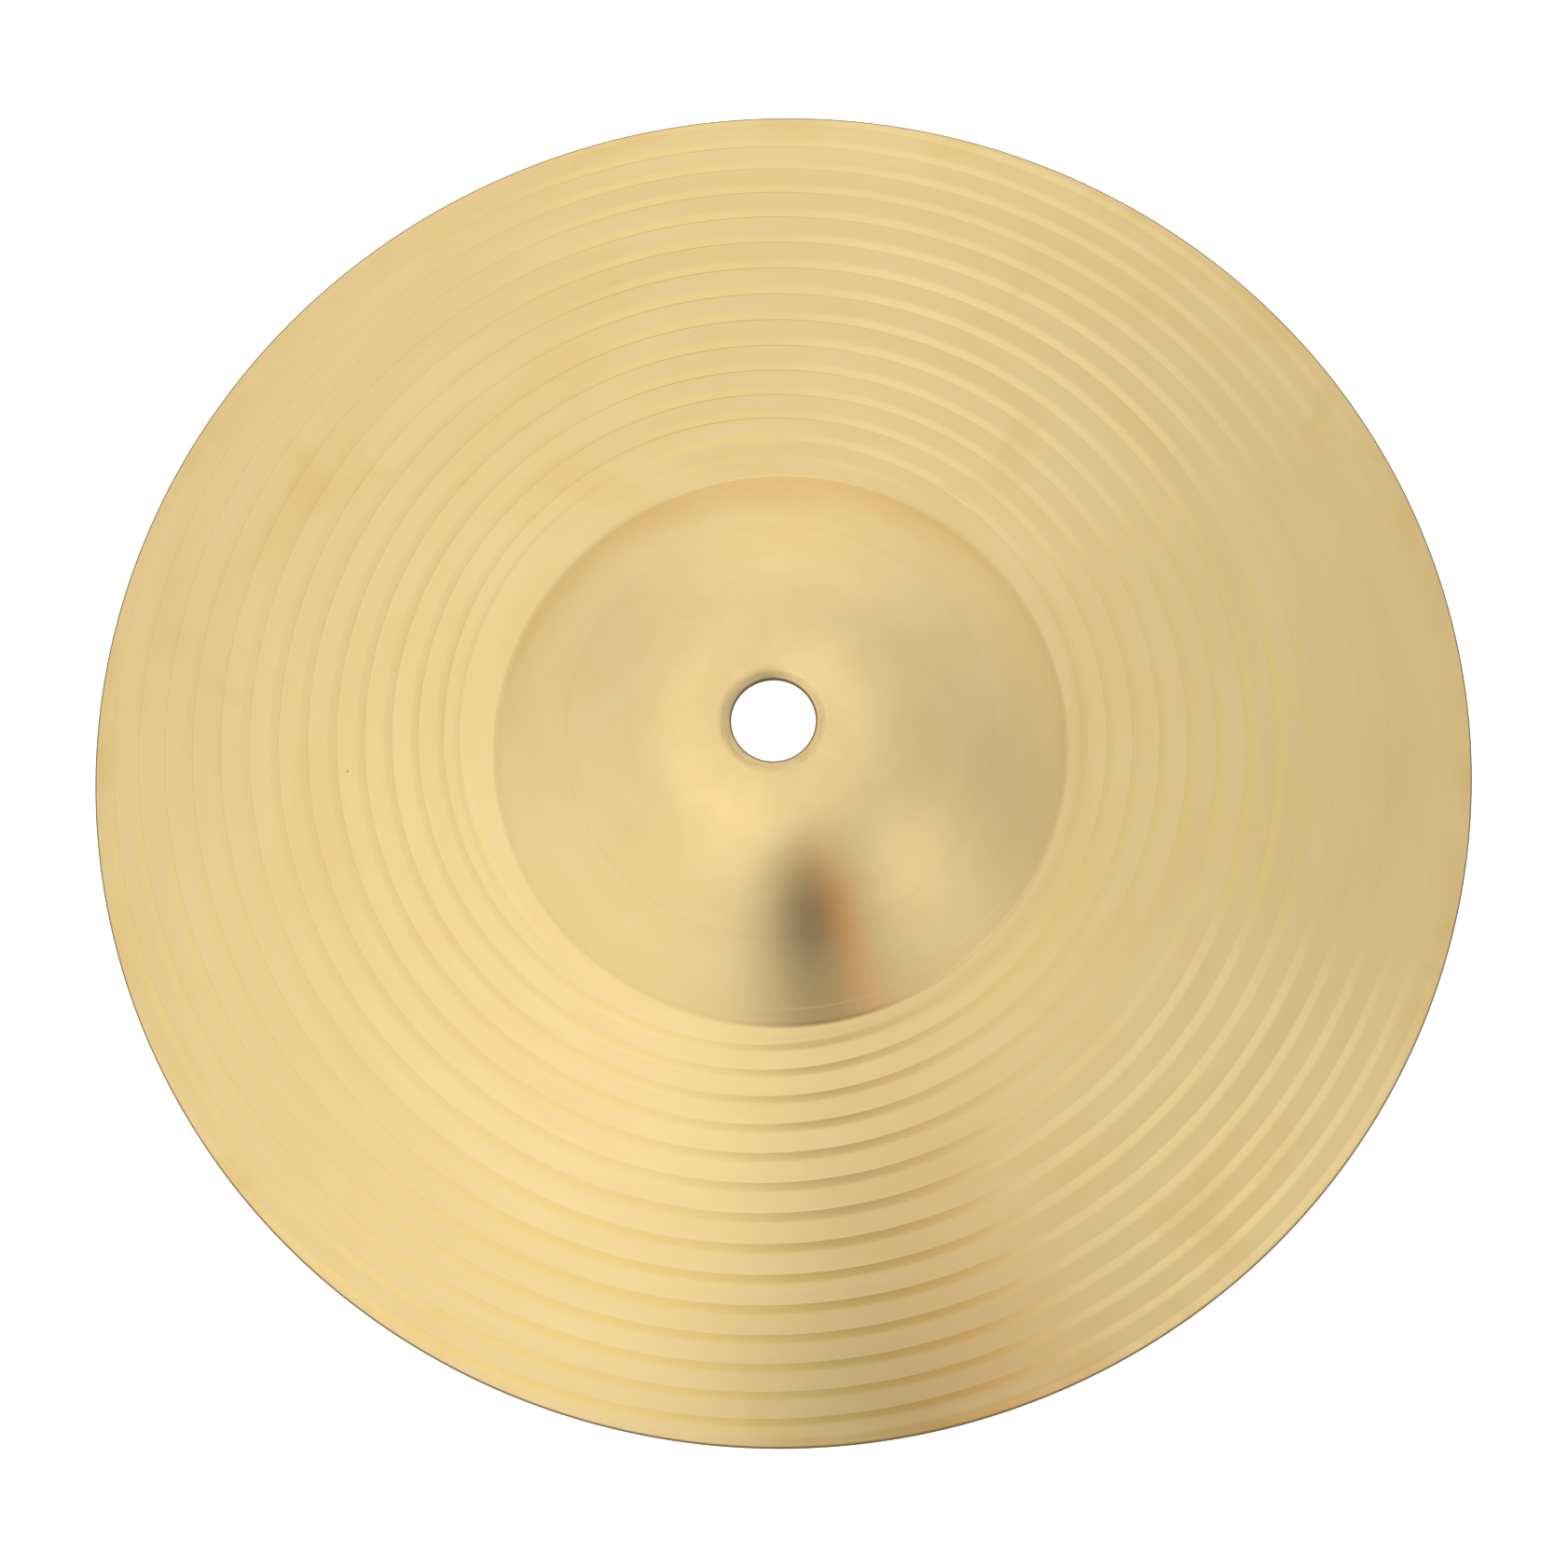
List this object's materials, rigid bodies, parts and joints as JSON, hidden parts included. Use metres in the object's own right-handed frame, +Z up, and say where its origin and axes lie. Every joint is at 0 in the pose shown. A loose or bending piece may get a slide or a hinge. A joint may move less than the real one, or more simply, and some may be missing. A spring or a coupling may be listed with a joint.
{
  "type": "crash cymbal",
  "caption": "Turned brass cymbal: a thin dished disc with a domed bell, a shallow bow and a central hole, struck to sound.",
  "frame": {"origin": "centre of the plane that the rim stands on, on the disc's axis", "axes": "+Z up along the disc's axis, out through the bell; +X and +Y are any two directions across the disc, because the solid is round; the hole sits 0.7 mm off the axis towards -X"},
  "size_m": [0.2032, 0.2032, 0.0266],
  "materials": {
    "turned_brass": "lathe-turned bare bronze or brass: fine concentric lathe lines, a shallow spiral tone groove over the bow, light tarnish"
  },
  "bodies": {
    "root": {"cymbal_disc": "turned_brass"}
  },
  "joints": []
}
